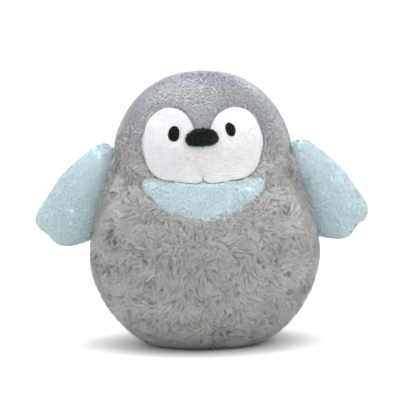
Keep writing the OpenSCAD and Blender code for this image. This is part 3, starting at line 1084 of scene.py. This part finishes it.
def make_beak():
    """A small stuffed oval, sewn on at the middle of the face and fuzzed all over."""
    rings, spokes = 40, 72
    polar = np.linspace(0, math.pi, rings + 1)
    angle = np.arange(spokes) / spokes * 2 * math.pi

    def fuller(values, power):
        return np.sign(values) * np.abs(values) ** power

    across = fuller(np.cos(polar)[:, None] * np.ones(spokes), BEAK_FULLNESS)
    ring = np.sin(polar)[:, None] ** BEAK_FULLNESS
    up = ring * fuller(np.sin(angle), BEAK_SECTION_FULLNESS)
    out = ring * fuller(np.cos(angle), BEAK_SECTION_FULLNESS)
    local = np.stack([across * BEAK_W / 2, -out * BEAK_DEPTH / 2, up * BEAK_H / 2 * 0.92], 2) * 0.95
    local[..., 2] -= 0.10 * local[..., 0] ** 2 / (BEAK_W / 2)  # its ends droop
    middle = turned_on_face(np.array([[0.0, BEAK_UP]]))
    seat, _ = front_surface(middle, BEAK_SEAT_DEPTH)
    tilt = np.array(Matrix.Rotation(-FEATURE_TILT, 3, "Y"))
    grid = local @ tilt.T + seat[0]
    normals = grid_normals(grid)
    outward = np.sign(((grid - seat[0]) * normals).sum(-1, keepdims=True))
    normals = normals * np.where(outward == 0, 1, outward)
    normals[0], normals[-1] = unit(grid[0, 0] - seat[0]), unit(grid[-1, 0] - seat[0])
    cushion = new_piece("beak_cushion", grid.reshape(-1, 3), grid_faces(grid), BEAK_BACKING)
    weld(cushion)
    fuzz = Pile(BEAK_FUZZ, 9e6, 1.3 * MM, 0.9 * MM, 0.14 * MM, fuzz_flow, rings=1, jitter=0.7)
    roots, root_normals = scatter(grid, normals, fuzz.density, 420)
    front = roots[:, 1] < seat[0, 1] + 2 * MM
    pile = fuzz.grow("beak_fuzz", roots[front], root_normals[front], 421)
    for piece in (cushion, pile):
        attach(piece, BODY)
    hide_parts("beak_cover")


eye_threads = thread_material("eye_thread", (0.006, 0.006, 0.007), 0.7, 0.1)
for eye_side, eye_label in SIDES:
    make_eye(eye_side, eye_label, eye_threads)
make_beak()

# ---- wings

WING_HALF_T, WING_PILE_DEPTH = 9.0 * MM, 1.6 * MM
WING_SKIN_HALF_T = (WING_HALF_T - WING_PILE_DEPTH) * 0.9  # before the skins are puffed out
WING_RINGS, WING_ROUNDNESS = 15, 0.8
WEDGE_ROOM, LEAST_HALF_T = 4.0 * MM, 0.3 * MM
WING_RIM_INSET = 0.2  # in millimetres, like the discs
WING_MIDDLE = np.array([13.5, -7.0]) * MM
WING_PINNED_X = 1.5 * MM  # the root, which the seam holds
WEDGE_SLOPE = math.radians(35)  # the skins open from the root at this slope
LESSER = -4.0  # power of the mean that follows the lesser of two thicknesses
PUFF_SHARES = [0.15, 1, 0.15]  # the rim's seam holds the skins back in the wing's plane
FIBRE_SHARES = [0.9, 0.75, 0.9]  # size of the filling against the skins
OUTLINE_SOFTENING = 9  # passes that round the corners of the wing's outline
WING_LIFT = {1: 0.075, -1: 0.0}  # rise of the soft wing along its span
WING_SPAN = {1: 0.96, -1: 1.01}  # the two wings are not sewn on quite alike


def wing_outline():
    """Union of the arm's and the lobe's outlines as one star-shaped outline."""
    angle = np.radians(np.arange(0, 360, 2.5))
    rays = np.stack([np.cos(angle), np.sin(angle)], 1)
    reach = np.zeros(len(angle))
    for discs in (ARM_DISCS, LOBE_DISCS):
        for start, end in runs_of(belt(discs, WING_RIM_INSET)):
            run, gap = end - start, start - WING_MIDDLE
            cross = rays[:, 0] * run[1] - rays[:, 1] * run[0]
            cross = np.where(np.abs(cross) < 1e-12, 1e-12, cross)
            t = (gap[0] * run[1] - gap[1] * run[0]) / cross
            s = (gap[0] * rays[:, 1] - gap[1] * rays[:, 0]) / cross
            hit = (t > 0) & (s >= 0) & (s <= 1)
            reach = np.where(hit, np.maximum(reach, t), reach)
    for _ in range(OUTLINE_SOFTENING):
        reach = (np.roll(reach, 1) + 2 * reach + np.roll(reach, -1)) / 4
    return WING_MIDDLE + rays * reach[:, None]


def wing_grid():
    """Grid of the padded wing in its own plane: front from its middle to the rim, then back."""
    outline = wing_outline()
    rows = []
    for t in np.linspace(0, 1, WING_RINGS):
        flat = WING_MIDDLE + (outline - WING_MIDDLE) * math.sin(t * math.pi / 2)
        puff = WING_SKIN_HALF_T * math.cos(t * math.pi / 2) ** WING_ROUNDNESS
        wedge = np.clip((flat[:, 0] + WEDGE_ROOM) * math.tan(WEDGE_SLOPE), LEAST_HALF_T, None)
        half_t = (max(puff, 1e-6) ** LESSER + wedge**LESSER) ** (1 / LESSER)
        rows.append(np.stack([flat[:, 0], -half_t, flat[:, 1]], 1))
    front = np.array(rows)
    return np.concatenate([front, front[-2::-1] * [1, -1, 1]])


def to_frame(points, side):
    """Carries points of the wing's own plane to its hinge on one side."""
    outward = np.array([-HINGE_DOWN[2], 0.0, HINGE_DOWN[0]])
    out = points[..., :1] * WING_SPAN[side]
    up = points[..., 2:3] + WING_LIFT[side] * out
    place = HINGE + out * outward + points[..., 1:2] * np.array([0, 1.0, 0]) - up * HINGE_DOWN
    return place * [side, 1, 1]


def wing_flow(points):
    """The wing's pile hangs outwards and down from the root."""
    side = np.sign(points[:, :1])
    return fuzz_flow(points) * 0.8 + np.concatenate(
        [side * 0.5, np.zeros_like(side), np.full_like(side, -0.6)], 1)


WING_FUR = replace(PATCH_FUR, flow=wing_flow)


def make_wing(side, label, puffed):
    """The front and back skins of one wing, with their pile."""
    body = f"{label}_wing"
    grid = to_frame(puffed, side)
    normals = grid_normals(grid)
    outward = ((grid - grid.mean((0, 1))) * normals).sum(-1)
    normals = normals * np.sign(np.median(outward))
    normals[0], normals[-1] = (0, -1, 0), (0, 1, 0)
    middle = np.array([WING_MIDDLE[0], 0.0, WING_MIDDLE[1]])
    core = to_frame((puffed - middle) * FIBRE_SHARES + middle, side)
    filling = new_piece(f"{body}_fibre", core.reshape(-1, 3), grid_faces(core), FIBRE)
    weld(filling)
    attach(filling, body)
    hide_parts(f"{label}_wing_filling")
    half = len(grid) // 2
    for name, skin in (("front", slice(0, half)), ("back", slice(half, None))):
        cells = np.zeros((len(grid) - 1, grid.shape[1]), bool)
        cells[skin] = True
        cloth = thick_grid(
            f"{body}_{name}_cloth", grid, normals, FLEECE_CLOTH_T, FLEECE_BACKING, cells)
        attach(cloth, body)
        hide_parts(f"{body}_{name}_panel")
        seed = 500 + 10 * side + (name == "back")
        cover(f"{body}_{name}_pile", WING_FUR, grid, normals, seed, seed + 3, body,
              cells)


def make_wings():
    flat = wing_grid()
    pinned = flat[..., 0] < WING_PINNED_X
    pinned[len(flat) // 2] = True
    puffed = inflate("wing_form", flat, pinned, WING_PRESSURE)
    fine = smooth_rows(flat + (puffed - flat) * PUFF_SHARES, 2, closed=False)
    for side, label in SIDES:
        make_wing(side, label, fine)


make_wings()

# ---- small sewn parts and insides


def fringe_flow(points):
    return body_swirl(points) * 0.6 + points * [0.2 / BELLY_R, 0, 0] + [0, 0, -0.5]


def fringe_size(points):
    """The fringe is uneven and fades out towards its ends and its front and back edge."""
    ends = smoothstep(56 * MM, 66 * MM, points[:, 2]) * smoothstep(99 * MM, 88 * MM, points[:, 2])
    edge = smoothstep(13 * MM, 8 * MM, np.abs(points[:, 1]))
    uneven = 1 + 0.18 * wave_noise(83, 5 * MM)(points)[:, 0]
    return (0.6 + 0.4 * ends * edge) * uneven


FRINGE_Y, FRINGE_Z = (4.5 * MM, 13 * MM), (58 * MM, 97 * MM)


def make_root_fringes():
    """Body pile that stands out over the root of each wing, before and behind it."""
    fringe = Pile(
        BODY_PILE, 3.0e6, 6.6 * MM, 5.4 * MM, 0.175 * MM, fringe_flow, clump=0.25,
        clump_pitch=0.75 * MM, jitter=0.5, size_at=fringe_size)
    x, y, z = np.moveaxis(CELL_MIDDLES, 2, 0)
    beside = (np.abs(y) > FRINGE_Y[0]) & (np.abs(y) < FRINGE_Y[1])
    beside &= (z > FRINGE_Z[0]) & (z < FRINGE_Z[1])
    for side, label in SIDES:
        cells = beside & (x * side > 0) & ~COVERED
        cover(f"{label}_root_fringe", fringe, SKIN, SKIN_NORMALS, 600 + side,
              610 + side, cells=cells)


make_root_fringes()


def dress_frame_nodes():
    """Materials of the frame's own nodes that stay as they are."""
    thread = thread_material("sewing_thread", (0.26, 0.26, 0.27), 0.6)
    wing_thread = thread_material("wing_thread", (0.45, 0.62, 0.68), 0.6)
    looks = {
        "beak_filling": FIBRE, "body_stuffing": FIBRE,
        "pellet_pouch": plain_cloth("pouch_cloth", (0.66, 0.62, 0.52)),
        "pellets": plain_cloth("pellet_plastic", (0.78, 0.78, 0.74), 400, 0.45),
        "panel_seam_thread": thread, "closing_stitches": thread,
        "left_wing_stitches": wing_thread, "right_wing_stitches": wing_thread,
        "left_wing_root_seam": plain_cloth("root_seam", (0.45, 0.64, 0.69)),
        "right_wing_root_seam": plain_cloth("root_seam_right", (0.45, 0.64, 0.69)),
    }
    for node, material in looks.items():
        mesh = frame["nodes"][node].data
        mesh.materials.clear()
        mesh.materials.append(material)


dress_frame_nodes()


def make_label():
    """The blank care label: a ribbon folded at its outer end, both layers sewn in the seam."""
    low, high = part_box("care_label")
    gap, sheet = 0.32 * MM, 0.22 * MM
    out = np.linspace(low.y, high.y, 14)
    bend = np.linspace(-math.pi / 2, math.pi / 2, 8)[1:-1]
    path = np.stack([
        np.concatenate([np.full(14, -gap), gap * np.sin(bend), np.full(14, gap)]),
        np.concatenate([out, high.y + gap * np.cos(bend), out[::-1]]),
    ], 1)
    reach = np.clip((path[:, 1] - BELLY_R * 0.85) / (high.y - BELLY_R * 0.85), 0, 1.1)
    along = unit(np.gradient(path, axis=0))
    across = np.stack([along[:, 1], -along[:, 0]], 1)
    z = np.linspace(low.z, high.z, 9)[:, None] + 0 * reach
    droop = 1.6 * MM * reach**2 * (1 - 0.3 * (z - low.z) / (high.z - low.z))
    layers = [np.stack([flat[:, 0] + droop, flat[:, 1] + 0 * z, z], 2)
              for flat in (path, path + across * sheet)]
    # The ribbon is open, so the quads that would join its last column to its first are left out.
    quads = grid_faces(layers[0]).reshape(len(z) - 1, -1, 4)[:, :-1].reshape(-1, 4)
    satin = plain_cloth("satin_ribbon", (0.86, 0.85, 0.83), 2500, 0.4)
    outer, inner = (layer.reshape(-1, 3) for layer in layers)
    ribbon = thick_faces("care_label_ribbon", outer, inner, quads, satin)
    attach(ribbon, BODY)
    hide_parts("care_label")


make_label()

# ---- floor, light and camera


FLOOR_HALF = 12.0
LIGHT_AIM = Vector((0, 0, 0.07))


def make_studio():
    nodes = Nodes("floor")
    nodes.color(nodes.ramp(nodes.noise(3), [(0.0, grey(0.81)), (1.0, grey(0.83))]))
    corners = [[x * FLOOR_HALF, y * FLOOR_HALF, 0] for x, y in ((-1, -1), (1, -1), (1, 1), (-1, 1))]
    floor = new_piece("floor", corners, [[0, 1, 2, 3]], nodes.material)
    for name, place, size, power in (
        ("key", (0.5, -0.6, 0.8), 0.8, 2.3),
        ("top", (0.0, 0.0, 1.1), 1.0, 9.0),
    ):
        light = bpy.data.lights.new(name, "AREA")
        light.shape, light.size, light.energy = "DISK", size, power
        lamp = link(name, light)
        lamp.location = place
        lamp.rotation_euler = (LIGHT_AIM - Vector(place)).to_track_quat("-Z", "Y").to_euler()
    world = bpy.data.worlds.new("studio")
    world.use_nodes = True
    background = world.node_tree.nodes["Background"]
    background.inputs["Color"].default_value = (1, 1, 1, 1)
    background.inputs["Strength"].default_value = 1.25
    bpy.context.scene.world = world
    bpy.context.scene.view_settings.view_transform = "Standard"


CAMERA_ELEVATION, CAMERA_ROLL = math.radians(7), math.radians(1.2)
CAMERA_LENS, SENSOR = 600.0, 36.0
FRAME_WIDTH = 200 * MM
LOOK_AT = Vector((-1.8 * MM, 0, 71.8 * MM))


def make_camera():
    data = bpy.data.cameras.new("camera")
    data.lens, data.sensor_width = CAMERA_LENS, SENSOR
    data.clip_start, data.clip_end = 0.05, 60
    camera = link("camera", data)
    away = Vector((0, -math.cos(CAMERA_ELEVATION), math.sin(CAMERA_ELEVATION)))
    camera.location = LOOK_AT + away * (FRAME_WIDTH * CAMERA_LENS / SENSOR)
    aim = (-away).to_track_quat("-Z", "Y").to_matrix() @ Matrix.Rotation(-CAMERA_ROLL, 3, "Z")
    camera.rotation_euler = aim.to_euler()
    bpy.context.scene.camera = camera


make_studio()
make_camera()
